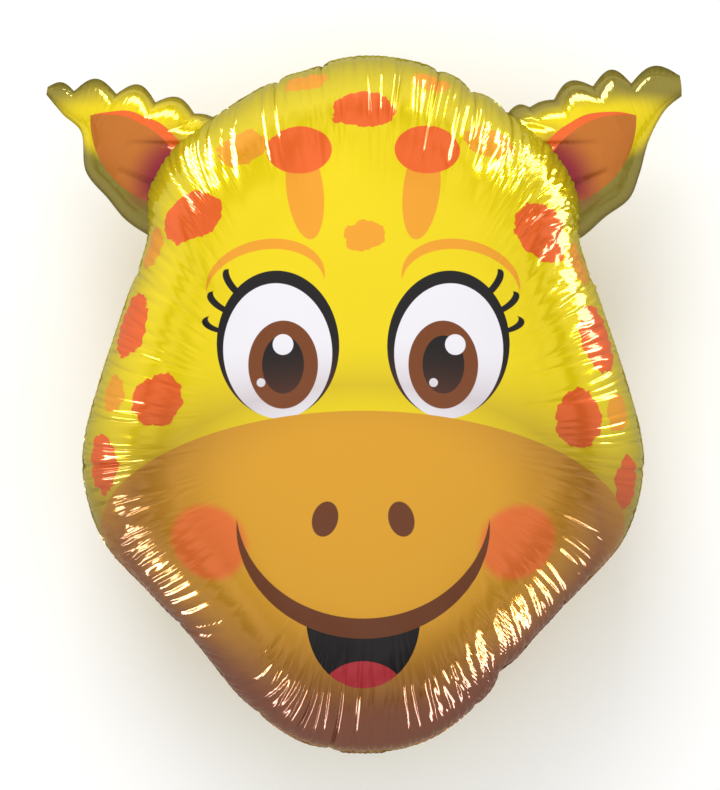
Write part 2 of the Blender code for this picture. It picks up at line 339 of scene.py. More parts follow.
# Glints: two places on the face between which the film mirrors a light, each by its
# direction in degrees and its share of the way out, the width of the light, and its
# brightness next to the others
GLINT_DISTANCE = 0.20
GLINTS = [
    ((122, 0.955), (122, 0.82), 0.026, 0.60),
    ((57, 0.91), (26, 0.91), 0.060, 0.28),
    ((63, 0.93), (63, 0.80), 0.016, 0.50),
    ((203, 0.90), (207, 0.90), 0.040, 0.30),
    ((217, 0.96), (217, 0.84), 0.018, 0.50),
    ((284, 0.94), (284, 0.81), 0.014, 0.45),
    ((296, 0.93), (296, 0.80), 0.016, 0.45),
    ((307, 0.92), (307, 0.80), 0.012, 0.45),
    ((256, 0.94), (256, 0.82), 0.014, 0.50),
    ((187, 0.93), (187, 0.84), 0.012, 0.50),
    ((20, 0.93), (20, 0.83), 0.014, 0.50),
    ((80, 0.95), (80, 0.86), 0.016, 0.50),
]
# The ears mirror two more lights: middle and facing point of each
EAR_LIGHTS = [
    ((-0.100, 0.275, 0.158), (-0.115, 0.165, 0.110)),
    ((0.100, 0.280, 0.158), (0.115, 0.170, 0.110)),
]
EAR_LIGHT_SIZE = (0.100, 0.028)
EAR_LIGHT_SHARE = 0.3

# Camera: the picture's middle over the balloon, and its height at the weld
PICTURE_MIDDLE = (-0.0016, 0.0158)
PICTURE_HEIGHT = 0.4172
SENSOR = 36.0


def number_property(name, description, default, **kind):
    """A number that a user can change."""
    return bpy.props.FloatProperty(name=name, description=description, default=default, **kind)


def colour_property(name, description, default):
    """A colour that a user can change."""
    return bpy.props.FloatVectorProperty(
        name=name, description=description, default=default, size=3, min=0.0, max=1.0,
        subtype="COLOR")


class FilmSettings(bpy.types.PropertyGroup):
    """Sizes of the balloon's film."""

    head_height: number_property(
        "Head height", "Height of the head from chin to crown", 0.366, unit="LENGTH")
    half_depth: number_property(
        "Half depth", "How far the front bulges from the weld", 0.094, unit="LENGTH")
    weld_width: number_property(
        "Weld width", "Width of the part of the weld that lies flat and shows", 0.0012,
        unit="LENGTH")
    crease_pitch: number_property(
        "Crease pitch", "Mean distance between creases at the weld", 0.0036, unit="LENGTH")
    longest_crease: number_property(
        "Longest crease", "How far in from the weld the longest creases run", 0.112,
        unit="LENGTH")
    crease_depth: number_property(
        "Crease depth", "Depth of the creases next to what takes up all of the gathered film",
        0.62, subtype="FACTOR")
    seed: bpy.props.IntProperty(
        name="Seed", description="Starts the draw of the creases", default=7)


class PrintSettings(bpy.types.PropertyGroup):
    """Inks of the printed face, and the painted shade towards the weld and the ears' edges."""

    yellow: colour_property("Yellow", "Coat in the middle of the face", (0.80, 0.62, 0.002))
    # Olive is painted shade towards the weld, where the steep film mirrors a dim room
    olive: colour_property("Olive", "Coat towards the weld", (0.34, 0.30, 0.02))
    tan: colour_property("Tan", "Middle of the muzzle", (0.66, 0.32, 0.018))
    # Brown is the muzzle's print, deepened by painted shade at the steep lower rim
    brown: colour_property("Brown", "Muzzle towards the chin", (0.20, 0.060, 0.024))
    patch: colour_property("Patch", "Dark patches of the coat", (0.80, 0.13, 0.02))
    amber: colour_property("Amber", "Light patches of the coat", (0.80, 0.33, 0.02))
    white: colour_property("White", "Whites of the eyes", (0.74, 0.72, 0.76))
    iris: colour_property("Iris", "Irises of the eyes", (0.17, 0.045, 0.008))
    dark: colour_property("Dark", "Pupils, lids and open mouth", (0.006, 0.004, 0.004))
    nostril: colour_property("Nostril", "Nostrils and the line of the smile", (0.13, 0.035, 0.008))
    tongue: colour_property("Tongue", "Tongue", (0.42, 0.025, 0.035))
    blush: colour_property("Blush", "Cheeks", (0.75, 0.16, 0.03))
    ear: colour_property("Ear", "Insides of the ears", (0.50, 0.15, 0.015))
    # Ear edge is painted shade at the ears' edges, where the steep film mirrors a dim room
    painted_ear_edge_shade: colour_property("Ear edge", "Coat at the edges of the ears", (0.26, 0.21, 0.03))
    crimson: colour_property("Crimson", "Shade inside the ears", (0.25, 0.01, 0.025))


class StudioSettings(bpy.types.PropertyGroup):
    """Floor, lights and camera. Brightness is next to white."""

    floor_colour: colour_property("Floor", "Colour of the floor", (0.96, 0.96, 0.96))
    camera_height: number_property(
        "Camera height", "Height of the camera above the weld", 1.6, unit="LENGTH")
    overhead: number_property("Overhead light", "Brightness of the large light above", 0.52)
    key: number_property("Key light", "Brightness of the light that models the film", 4.5)
    ceiling: number_property("Ceiling", "Brightness of the room straight above", 0.90)
    walls: number_property("Walls", "Brightness of the room at floor level", 0.45)
    glints: number_property(
        "Glints", "Brightness of the small lights that the film mirrors", 54.0)


def film_settings():
    return bpy.context.scene.balloon_film


def print_settings():
    return bpy.context.scene.balloon_print


def seam_height():
    """Height of the weld above the floor, from the top of the solid."""
    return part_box(NODE)[1].z - film_settings().half_depth


def smooth_curve(points, closed):
    """Points along a Catmull-Rom curve through the given ones."""
    points = np.asarray(points, float)
    count = len(points)
    spans = np.arange(count if closed else count - 1)
    near = [spans + offset for offset in (-1, 0, 1, 2)]
    near = [index % count if closed else index.clip(0, count - 1) for index in near]
    a, b, c, d = (points[index][:, None, :] for index in near)
    t = (np.arange(CURVE_STEPS) / CURVE_STEPS)[None, :, None]
    found = 0.5 * (2 * b + (c - a) * t + (2 * a - 5 * b + 4 * c - d) * t**2
                   + (3 * b - a - 3 * c + d) * t**3)
    found = found.reshape(-1, points.shape[1])
    return found if closed else np.vstack([found, points[-1:]])


def travelled(line):
    """Distance along a line to each of its points, measured in its first two columns."""
    steps = np.linalg.norm(np.diff(line[:, :2], axis=0), axis=1)
    return np.concatenate([[0.0], np.cumsum(steps)])


def evenly_spaced(points, closed, count):
    """The same line with its points at equal distances along it."""
    line = np.vstack([points, points[:1]]) if closed else points
    at = travelled(line)
    wanted = np.linspace(0, at[-1], count, endpoint=not closed)
    return np.stack([np.interp(wanted, at, column) for column in line.T], 1)


def running_mean(values, half):
    """Mean of each line of a closed grid with its neighbours on either side."""
    padded = np.concatenate([values[-half:], values, values[:half + 1]])
    sums = np.cumsum(padded, axis=0)
    return (sums[2 * half + 1:] - sums[:-2 * half - 1])[:len(values)] / (2 * half + 1)


def unit(vectors):
    """Vectors of length one with the same directions."""
    return vectors / np.maximum(np.linalg.norm(vectors, axis=-1, keepdims=True), TINY)


def bell(distance, reach):
    """From 1 at no distance, smoothly down to nothing well beyond the reach."""
    return np.exp(-(distance / reach) ** 2)


def turned_apart(degrees, other):
    """How far one direction is turned from another, within half a turn either way."""
    return (degrees - other + 180) % 360 - 180


def outward_of(along):
    """Directions to the right of a line that runs along the given ones."""
    return np.stack([along[:, 1], -along[:, 0]], 1)


def film_section():
    """Radius, height and film length from the centre to the rim of an inflated film
    that can't stretch, for a rim radius of one."""
    w = np.linspace(0, math.sqrt(math.pi / 2), SECTION_STEPS)
    middle = (w[1:] + w[:-1]) / 2
    rise = np.sqrt(np.sin(middle**2)) * middle
    length = middle / np.sqrt(np.sin(middle**2)) * (w[1] - w[0])
    fallen = np.concatenate([[0.0], np.cumsum(rise)])
    return (np.sqrt(np.sin(w * w)), 1 - fallen / fallen[-1],
            np.concatenate([[0.0], np.cumsum(length)]))


SECTION_RADIUS, SECTION_HEIGHT, SECTION_LENGTH = film_section()


def rounded(oval, weld, share):
    """Distance from the middle at a share of the way out, near the middle as on the
    oval and near the rim as on the weld."""
    return (oval + (weld - oval) * share**ROUNDING_POWER) * share


class HeadShape:
    """The head's inflated shape without its creases."""

    def __init__(self):
        settings = film_settings()
        self.scale = settings.head_height
        self.weld = settings.weld_width
        self.rim = self.draw_rim()
        self.turns = np.arctan2(self.rim[:, 1], self.rim[:, 0])
        self.reaches = np.linalg.norm(self.rim, axis=1) - self.weld
        self.outward = unit(outward_of(np.roll(self.rim, -1, 0) - np.roll(self.rim, 1, 0)))
        self.length = travelled(np.vstack([self.rim, self.rim[:1]]))[-1]

    def draw_rim(self):
        """The rim as an evenly spaced closed line, anticlockwise from the crown."""
        right = HEAD_OUTLINE[-2:0:-1]
        left = [(-x, y) for x, y in HEAD_OUTLINE[1:-1]]
        shares = np.array([HEAD_OUTLINE[0], *left, HEAD_OUTLINE[-1], *right])
        rise = (shares[:, 1] - CROWN_SHIFT_FROM) / (HEAD_OUTLINE[0][1] - CROWN_SHIFT_FROM)
        shares[:, 0] += CROWN_SHIFT * rise.clip(0, None)
        line = smooth_curve(shares, True)
        depth = sum(dent * bell(np.linalg.norm(line - place, axis=1), width)
                    for place, dent, width in RIM_DENTS)
        line *= (1 - depth / np.linalg.norm(line, axis=1))[:, None]
        return evenly_spaced(line * self.scale, True, RIM_LINES)

    def lines_across(self, distance):
        """How many lines of the rim there are in a distance along it."""
        return int(distance / self.length * RIM_LINES)

    def oval_reach(self, direction):
        """Distance from the middle to the oval that the film rounds off to."""
        wide, tall = (share * self.scale for share in OVAL_HALF_SIZE)
        rise = OVAL_RISE * self.scale
        a = (direction[..., 0] / wide) ** 2 + (direction[..., 1] / tall) ** 2
        b = direction[..., 1] * rise / tall**2
        c = (rise / tall) ** 2 - 1
        return (b + np.sqrt(b * b - a * c)) / np.maximum(a, TINY)

    def oval_and_weld(self, direction):
        """Distances from the middle to the oval and to the weld in a direction."""
        turn = np.arctan2(direction[..., 1], direction[..., 0])
        weld = np.interp(turn, self.turns, self.reaches, period=2 * np.pi)
        return self.oval_reach(direction), weld

    def share(self, points):
        """How far out points lie, from 0 in the middle to 1 at the weld."""
        distance = np.linalg.norm(points, axis=-1)
        reaches = self.oval_and_weld(unit(points))
        low = np.zeros_like(distance)
        high = np.ones_like(distance)
        for _ in range(BISECTIONS):
            middle = (low + high) / 2
            inside = rounded(*reaches, middle) < distance
            low = np.where(inside, middle, low)
            high = np.where(inside, high, middle)
        return (low + high) / 2

    def place(self, degrees, share):
        """The point at a share of the way out in a direction."""
        turn = math.radians(degrees)
        direction = np.array([math.cos(turn), math.sin(turn)])
        return direction * rounded(*self.oval_and_weld(direction), share)

    def rim_at(self, degrees):
        """Distance along the rim to where it crosses a direction from the middle."""
        apart = np.abs(turned_apart(np.degrees(self.turns), degrees))
        return int(np.argmin(apart)) * self.length / RIM_LINES

    def notches(self):
        """How far each point of the rim moves, in its notches and the swell of the crown."""
        at = np.arange(RIM_LINES) * self.length / RIM_LINES
        apart = turned_apart(np.degrees(self.turns), CROWN_DIRECTION)
        out = CROWN_SWELL * np.exp(-(apart / CROWN_HALF_SPAN) ** CROWN_SPAN_POWER)
        for degrees, _, _, notch in MAIN_CREASES:
            away = np.abs(at - self.rim_at(degrees))
            away = np.minimum(away, self.length - away)
            out -= notch * np.exp(-away / NOTCH_WIDTH)
        return self.outward * out[:, None]

    def lines(self, shares):
        """Points where lines from the rim to the middle cross the given shares.

        Each line starts square to the rim and bends round to the middle.
        """
        start = self.rim - self.outward * self.weld
        inward = -unit(running_mean(self.outward, self.lines_across(NORMAL_SMOOTHING)))
        radial = unit(start)
        end = radial * self.oval_reach(radial)[:, None] * STRAIGHT_SHARE
        leaving = start + inward * SQUARE_REACH * self.scale
        arriving = end + radial * TURNED_REACH * self.scale
        t = np.linspace(0, 1, LINE_STEPS)[None, :, None]
        bent = ((1 - t) ** 3 * start[:, None] + 3 * t * (1 - t) ** 2 * leaving[:, None]
                + 3 * t * t * (1 - t) * arriving[:, None] + t**3 * end[:, None])
        straight = end[:, None] * np.linspace(1, 0, STRAIGHT_STEPS)[None, 1:, None]
        path = np.concatenate([bent, straight], 1)
        path_share = self.share(path)
        path_share[:, 0] = 1.0
        found = np.empty((RIM_LINES, len(shares), 2))
        for number in range(RIM_LINES):
            falling = np.minimum.accumulate(path_share[number])
            for axis in (0, 1):
                found[number, :, axis] = np.interp(-shares, -falling, path[number, :, axis])
        return found


def row_shares():
    """Shares of the rows from the weld in, close at the weld, and how many are creased."""
    depths = [0.0]
    step = FIRST_ROW
    while depths[-1] < CREASED_DEPTH:
        depths.append(depths[-1] + step)
        step *= ROW_GROWTH
    lengths = SECTION_LENGTH[-1] - np.array(depths) / NOMINAL_REACH
    creased = np.interp(lengths, SECTION_LENGTH, SECTION_RADIUS)
    inner = np.linspace(creased[-1], 0, SMOOTH_ROWS + 1)[1:-1]
    return np.concatenate([creased, inner]), len(creased)


def draw_creases(draw, length, pitch, longest):
    """Creases at uneven steps along a weld: place, reach, drift and strength of each.

    The reaches thin the creases out with the distance from the weld.
    """
    count = int(round(length / pitch))
    steps = draw.uniform(1 - CREASE_UNEVEN, 1 + CREASE_UNEVEN, count)
    places = np.cumsum(steps) * length / steps.sum()
    uneven = draw.uniform(-REACH_UNEVEN, REACH_UNEVEN, count)
    spread = (np.arange(count) * GOLDEN_SHARE + uneven) % 1
    least = pitch / (pitch + CREASE_SPREAD * longest)
    reaches = pitch / CREASE_SPREAD * (1 / spread.clip(least, 1) - 1)
    reaches = reaches * draw.uniform(REACH_LEAST, 1, count) + SHORTEST_CREASE
    drifts = draw.normal(0, CREASE_DRIFT, count)
    strengths = draw.uniform(*CREASE_STRENGTH, count)
    return np.stack([places, reaches, drifts, strengths], 1)


def lines_near(place, half, spacing, count, closed):
    """Numbers of the lines round a place, and how far each is from it."""
    lines = np.arange(int(place / spacing) - half, int(place / spacing) + half + 1)
    offset = lines * spacing - place
    if closed:
        return lines % count, offset
    kept = (lines >= 0) & (lines < count)
    return lines[kept], offset[kept]


def crease_relief(creases, length, closed, depth, excess, pitch):
    """How deep creases draw the film in, for each line from the weld and row along it.

    Between two creases the film bulges, and in a crease it comes to an edge.
    """
    count = len(depth)
    spacing = length / (count if closed else count - 1)
    relief = np.zeros_like(depth)
    fullest = np.sqrt(PARABOLA_GATHER * excess)
    for place, reach, drift, strength in creases:
        half = int((HALF_CREASE * pitch + (CREASE_SPREAD + abs(drift)) * reach) / spacing) + 2
        lines, offset = lines_near(place, half, spacing, count, closed)
        d = depth[lines]
        width = HALF_CREASE * (pitch + CREASE_SPREAD * d)
        valley = (1 - np.abs(offset[:, None] - drift * d) / width).clip(0, None) ** 2
        fade = (1 - (d / reach) ** CREASE_END_POWER).clip(0, None)
        relief[lines] += strength * width * fullest[lines] * valley * fade
    held = HELD_SHARE + (1 - HELD_SHARE) * (depth / HELD_DEPTH).clip(0, 1)
    return relief * held


def slant_along(shape, creases):
    """How much each crease slants, by its direction from the middle of the head."""
    line = (creases[:, 0] / shape.length * RIM_LINES).astype(int) % RIM_LINES
    degrees = np.degrees(shape.turns[line])
    return sum(amount * bell(turned_apart(degrees, middle), reach)
               for middle, reach, amount in SLANTS)


def head_creases(shape, side):
    """All creases round the head. The back has the same ones with other reaches."""
    settings = film_settings()
    draw = np.random.default_rng(settings.seed)
    creases = draw_creases(draw, shape.length, settings.crease_pitch, settings.longest_crease)
    main = [(shape.rim_at(degrees), reach, 0.0, strength)
            for degrees, reach, strength, _ in MAIN_CREASES]
    creases = np.vstack([creases, main])
    creases[:, 2] += slant_along(shape, creases)
    if side < 0:
        creases[:, 1] = draw.permutation(creases[:, 1])
    return creases


def crumple(shape, flat, depth, seed):
    """Uneven small dents of the film, deeper round some places."""
    half = max(shape.lines_across(CRUMPLE_SIZE / 2), 1)
    rough = np.random.default_rng(seed).normal(0, 1, depth.shape)
    for _ in range(CRUMPLE_PASSES):
        rough = running_mean(rough, half)
    amount = sum(deep * bell(np.linalg.norm(flat - place, axis=2), reach)
                 for place, reach, deep in CRUMPLES)
    fade = (depth / HELD_DEPTH).clip(0, 1) * (1 - depth / depth[:, -1:]).clip(0, 1)
    return rough / rough.std() * amount * fade


def sheet_creases(shape, shares, depth, side):
    """How deep the creases draw a sheet in, without changing its mean height."""
    settings = film_settings()
    gathered = SECTION_LENGTH[1:] / SECTION_RADIUS[1:] - 1
    excess = np.interp(shares, SECTION_RADIUS[1:], gathered).clip(0, None)
    excess = np.broadcast_to(excess * settings.crease_depth**2, depth.shape)
    relief = crease_relief(head_creases(shape, side), shape.length, True, depth, excess,
                           settings.crease_pitch)
    return relief - running_mean(relief, shape.lines_across(LEVEL_WINDOW))


def facing(points, closed, side):
    """Directions square to a grid of points, up on side 1 and down on side -1."""
    if closed:
        across = np.roll(points, -1, 0) - np.roll(points, 1, 0)
    else:
        across = np.gradient(points, axis=0)
    normals = unit(np.cross(across, np.gradient(points, axis=1)))
    return normals if (normals[:, :, 2] * side).sum() > 0 else -normals


def sheet_grid(shape, flat, depth, shares, creased, side):
    """Points of a sheet with its creases, on each line from the rim's edge in."""
    settings = film_settings()
    seam = seam_height()
    notches = shape.notches()
    height = np.interp(shares, SECTION_RADIUS, SECTION_HEIGHT) * settings.half_depth * side
    moved = flat + notches[:, None] * np.exp(-depth / NOTCH_DEPTH)[..., None]
    level = np.broadcast_to(np.maximum(seam + height, 0.0), depth.shape)
    points = np.dstack([moved, level])

    relief = sheet_creases(shape, shares[:creased], depth[:, :creased], side)
    edge_shift = relief[:, :1] * EDGE_SHARE
    relief += crumple(shape, flat[:, :creased], depth[:, :creased],
                      settings.seed + CRUMPLE_SEED + side)
    normals = facing(points[:, :creased], True, side)
    normals[:, 0] = np.column_stack([shape.outward, np.zeros(RIM_LINES)])
    points[:, :creased] -= normals * relief[:, :, None]
    points[:, :, 2] = points[:, :, 2].clip(0.0, None)

    draw = np.random.default_rng(settings.seed + RUFFLE_SEED)
    ruffle = running_mean(draw.normal(0, 1, (RIM_LINES, 1)),
                          shape.lines_across(settings.crease_pitch))
    ruffle *= RUFFLE / ruffle.std()
    edge = np.column_stack([shape.rim + notches - shape.outward * edge_shift, seam + ruffle])
    middle = (edge + points[:, 0]) / 2 + [0, 0, side * EDGE_THICKNESS / 2]
    return np.concatenate([edge[:, None], middle[:, None], points], 1)


def ring_faces(first, second, flip):
    """Faces between two closed rows. The second may have fewer points by a whole share."""
    step = len(first) // len(second)
    faces = []
    for number in range(len(second)):
        after = (number + 1) % len(second)
        outer = [first[(number * step + k) % len(first)] for k in range(step + 1)]
        face = outer + [second[after], second[number]]
        faces.append(face[::-1] if flip else face)
    return faces


def tube_faces(count, width, flip):
    """Faces of a tube of rings, with both of its ends closed."""
    rings = [list(range(n * width, (n + 1) * width)) for n in range(count)]
    faces = []
    for first, second in zip(rings, rings[1:]):
        faces.extend(ring_faces(first, second, flip))
    faces.append(rings[0] if flip else rings[0][::-1])
    faces.append(rings[-1][::-1] if flip else rings[-1])
    return faces


def sheet_mesh(grid, printed, fine_rows, side):
    """Vertices, faces and printed places of a sheet, with fewer lines beyond the fine
    rows and one point in the middle."""
    vertices, placed, faces, rows = [], [], [], []
    total = 0
    for row in range(grid.shape[1]):
        step = 1 if row < fine_rows else SMOOTH_LINE_STEP
        vertices.append(grid[::step, row])
        placed.append(printed[::step, row])
        rows.append(list(range(total, total + RIM_LINES // step)))
        total += RIM_LINES // step
    for first, second in zip(rows, rows[1:]):
        faces.extend(ring_faces(first, second, side < 0))
    top = max(seam_height() + side * film_settings().half_depth, 0.0)
    vertices.append([[0.0, 0.0, top]])
    placed.append([[0.0, 0.0]])
    last = rows[-1]
    for number in range(len(last)):
        face = [last[number], last[(number + 1) % len(last)], total]
        faces.append(face[::-1] if side < 0 else face)
    return np.vstack(vertices), faces, np.vstack(placed)


def film_object(name, vertices, faces, printed, materials, material_of_face=None):
    """A piece of film that rides on the balloon, with its place on the print as a map."""
    mesh = bpy.data.meshes.new(name)
    mesh.from_pydata(vertices.tolist(), [], faces)
    corner = np.zeros(len(mesh.loops), np.int32)
    mesh.loops.foreach_get("vertex_index", corner)
    film_map = mesh.uv_layers.new(name="film")
    film_map.uv.foreach_set("vector", printed[corner].astype(np.float32).ravel())
    for material in materials:
        mesh.materials.append(material)
    if material_of_face is not None:
        mesh.polygons.foreach_set("material_index", material_of_face)
    mesh.shade_smooth()
    mesh.validate()
    piece = bpy.data.objects.new(name, mesh)
    bpy.context.scene.collection.objects.link(piece)
    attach(piece, BODY)
    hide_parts(NODE)


def make_sheet(name, side, material):
    """The front sheet (side 1) or the back sheet (side -1), with its half of the weld."""
    shape = HeadShape()
    shares, creased = row_shares()
    flat = shape.lines(shares)
    length = np.interp(shares, SECTION_RADIUS, SECTION_LENGTH)[None, :]
    depth = (SECTION_LENGTH[-1] - length) * shape.reaches[:, None]
    grid = sheet_grid(shape, flat, depth, shares, creased, side)

    printed = flat * (length / np.maximum(shares, TINY))[..., None]
    weld = shape.outward[:, None] * np.array([shape.weld, shape.weld / 2])[None, :, None]
    printed = np.concatenate([printed[:, :1] + weld, printed], 1)
    fine_rows = creased + weld.shape[1]
    film_object(name, *sheet_mesh(grid, printed, fine_rows, side), [material])


def ear_edges(upper, billows, lower):
    """An ear's upper edge through its creases, how far it bulges there, its lower edge
    and how far the nearest crease of the upper edge is, all at even stations."""
    scale = film_settings().head_height
    points = np.array(upper) * scale
    t = np.linspace(0, 1, CURVE_STEPS, endpoint=False)[:, None]
    line = []
    for number, height in enumerate(billows):
        a, b = points[number], points[number + 1]
        along = unit(b - a)
        out = np.array([-along[1], along[0]])
        out = -out if out[1] < 0 else out
        bulge = out * height * scale * np.sin(np.pi * t)
        gap = np.linalg.norm(b - a) * np.minimum(t, 1 - t)
        line.append(np.hstack([a + (b - a) * t, bulge, gap]))
    line.append(np.array([[*points[-1], 0.0, 0.0, 0.0]]))
    even = evenly_spaced(np.vstack(line), False, EAR_STATIONS)
    bottoms = evenly_spaced(smooth_curve(lower, False) * scale, False, EAR_STATIONS)
    return even[:, :2], even[:, 2:4], bottoms, even[:, 4]


def ear_folds(flat):
    """How deep the folds draw an ear's film in at points of its plan."""
    right = np.dstack([np.abs(flat[..., 0]), flat[..., 1]])
    depth = np.zeros(flat.shape[:2])
    for start, end, deep, steep, gentle in EAR_FOLDS:
        along = np.subtract(end, start)
        t = ((right - start) @ along / (along @ along)).clip(0, 1)
        offset = right - start - t[..., None] * along
        wide = np.where(offset @ [-along[1], along[0]] > 0, steep, gentle)
        depth += deep * np.sqrt(1 - t) * np.exp(-np.linalg.norm(offset, axis=2) / wide)
    return depth


def ear_plan(tops, bulges, bottoms, gap):
    """An ear's plan before and after it bulges, and its half thickness."""
    half = np.linalg.norm(tops - bottoms, axis=1)[:, None] / 2
    inner = np.maximum(half - film_settings().weld_width, half * EAR_LEAST_INNER)
    turn = np.linspace(0, np.pi, EAR_STEPS + 1)[None, :]
    reach = np.hstack([half, inner * np.cos(turn), -half])
    share = (reach / half).clip(0, 1) ** EAR_BULGE_POWER
    across = unit(tops - bottoms)
    plain = ((tops + bottoms) / 2)[:, None] + across[:, None] * reach[..., None]
    flat = plain + bulges[:, None] * share[..., None]
    rim = np.zeros_like(half)
    plump = np.hstack([rim, EAR_PLUMPNESS * inner * np.sin(turn), rim])
    pinch = np.exp(-gap[:, None] / EAR_PINCH_WIDTH) * share**EAR_PINCH_POWER
    plump = plump * (1 - EAR_PINCH * pinch)
    return plain, flat, np.maximum(plump - ear_folds(flat), np.minimum(plump, EDGE_THICKNESS))


def ear_sheet(flat, plump, edges, draw, side):
    """One side of an ear, with the creases that run in from both of its edges."""
    settings = film_settings()
    grid = np.dstack([flat, side * plump])
    steps = np.linalg.norm(np.diff(grid, axis=1), axis=2)
    from_top = np.hstack([np.zeros((EAR_STATIONS, 1)), np.cumsum(steps, axis=1)])
    depths = (from_top, from_top[:, -1:] - from_top)
    normals = facing(grid, False, side)
    for edge, depth, gathered in zip(edges, depths, (EAR_UPPER_EXCESS, EAR_LOWER_EXCESS)):
        length = travelled(edge)[-1]
        creases = draw_creases(draw, length, settings.crease_pitch,
                               settings.longest_crease * EAR_CREASE_SHARE)
        excess = gathered * np.exp(-depth / EAR_EXCESS_DEPTH) * settings.crease_depth**2
        relief = crease_relief(creases, length, False, depth, excess, settings.crease_pitch)
        relief *= (depth / settings.weld_width).clip(0, 1)
        grid = grid - normals * relief[..., None]
    grid[:, (0, -1), 2] = 0
    grid[:, 1:-1, 2] += side * EDGE_THICKNESS / 2
    return grid


def leaned(ring):
    """An ear that lies at the weld's height, leaned by a turn about a line across it."""
    hinge = EAR_LEAN_HEIGHT * film_settings().head_height
    y, z = ring[:, :, 1] - hinge, ring[:, :, 2]
    return np.dstack([ring[:, :, 0], hinge + y * math.cos(EAR_LEAN) - z * math.sin(EAR_LEAN),
                      y * math.sin(EAR_LEAN) + z * math.cos(EAR_LEAN) + seam_height()])


def there_and_back(first, second):
    """Rings that run over the first grid's lines and back over the second's."""
    return np.concatenate([first, second[:, -2:0:-1]], 1)


def make_ear(name, upper, billows, lower, seed, materials):
    """An ear: lens-shaped sections from its root, inside the head, to its tip."""
    tops, bulges, bottoms, gap = ear_edges(upper, billows, lower)
    plain, flat, plump = ear_plan(tops, bulges, bottoms, gap)
    draw = np.random.default_rng(seed)
    edges = (tops + bulges, bottoms)
    sheets = [ear_sheet(flat, plump, edges, draw, side) for side in (1, -1)]
    ring = leaned(there_and_back(*sheets))
    width = ring.shape[1]
    faces = tube_faces(EAR_STATIONS, width, upper[-1][0] < 0)
    kinds = [0 if k <= EAR_STEPS + 1 else 1 for k in range(width)] * (EAR_STATIONS - 1) + [0, 0]
    film_object(name, ring.reshape(-1, 3), faces, there_and_back(plain, plain).reshape(-1, 2),
                materials, kinds)


def neck_line():
    """Side view of the neck, from inside the chin's rim round under the back, as (y, z)."""
    settings = film_settings()
    chin = -HEAD_OUTLINE[-1][1] * settings.head_height
    rim = chin - settings.weld_width
    back = np.stack([-rim * SECTION_RADIUS, -settings.half_depth * SECTION_HEIGHT], 1)[::-1]
    middle = (back[1:] + back[:-1]) / 2
    out = outward_of(unit(np.diff(back, axis=0)))
    hug = middle + out * (NECK_GAP + NECK_THICKNESS / 2)
    at = travelled(back)[1:]
    hug = hug[(at > NECK_FOLD) & (at < NECK_HUG)]
    root = np.array([(-(rim - NECK_ROOT), 0.0), (-(chin - NECK_FOLD), 0.0)])
    tail = hug[-1:] + unit(hug[-1:] - hug[-2:-1]) * NECK_TAIL
    return evenly_spaced(np.vstack([root, hug, tail]), False, NECK_ROWS)


def make_neck(material):
    """The filling neck: two films welded along their sides, folded behind the chin."""
    line = neck_line()
    out = outward_of(unit(np.gradient(line, axis=0)))
    across = np.linspace(-1, 1, NECK_COLUMNS)
    share = np.linspace(0, 1, NECK_ROWS)[:, None]
    wave = NECK_WAVE * share * sum(np.sin(over * across + down * share)
                                   for over, down in NECK_WAVES)
    over, down = NECK_PLEATS
    wave += NECK_PLEAT * (1 - share) * np.abs(np.sin(over * across + down * share))
    puff = NECK_THICKNESS / 2 * (1 - across**NECK_ROUND)
    sheets = []
    for side in (1, -1):
        offset = wave + side * puff
        y = line[:, :1] + out[:, :1] * offset
        z = seam_height() + line[:, 1:] + out[:, 1:] * offset
        x = np.broadcast_to(across * NECK_WIDTH / 2, y.shape)
        sheets.append(np.dstack([x, y, z]))
    ring = there_and_back(*sheets)
    film_object("filling_neck", ring.reshape(-1, 3), tube_faces(NECK_ROWS, ring.shape[1], True),
                ring[:, :, :2].reshape(-1, 2), [material])


class Number:
    """A number that runs through a material's nodes, so that a sum is written as a sum."""

    def __init__(self, tree, socket):
        self.tree = tree
        self.socket = socket

    def math(self, operation, *others):
        """The outcome of one maths node that starts with this number."""
        node = self.tree.nodes.new("ShaderNodeMath")
        node.operation = operation
        self.tree.links.new(self.socket, node.inputs[0])
        for place, other in enumerate(others, start=1):
            if isinstance(other, Number):
                self.tree.links.new(other.socket, node.inputs[place])
            else:
                node.inputs[place].default_value = other
        return Number(self.tree, node.outputs[0])

    def __add__(self, other):
        return self.math("ADD", other)

    def __sub__(self, other):
        return self.math("SUBTRACT", other)

    def __mul__(self, other):
        return self.math("MULTIPLY", other)

    def both(self, other):
        """Inside this shape and the other."""
        return self.math("MINIMUM", other)

    def without(self, other):
        """Inside this shape and outside the other."""
        return self.both(other * -1)

    def ramp(self, low, high):
        """From 0 at low to 1 at high, in a smooth step."""
        node = self.tree.nodes.new("ShaderNodeMapRange")
        node.interpolation_type = "SMOOTHSTEP"
        self.tree.links.new(self.socket, node.inputs["Value"])
        node.inputs["From Min"].default_value = low
        node.inputs["From Max"].default_value = high
        return Number(self.tree, node.outputs["Result"])


def noise_node(tree, place, scale, detail):
    """A noise texture over the given place."""
    noise = tree.nodes.new("ShaderNodeTexNoise")
    noise.inputs["Scale"].default_value = scale
    noise.inputs["Detail"].default_value = detail
    tree.links.new(place, noise.inputs["Vector"])
    return noise.outputs


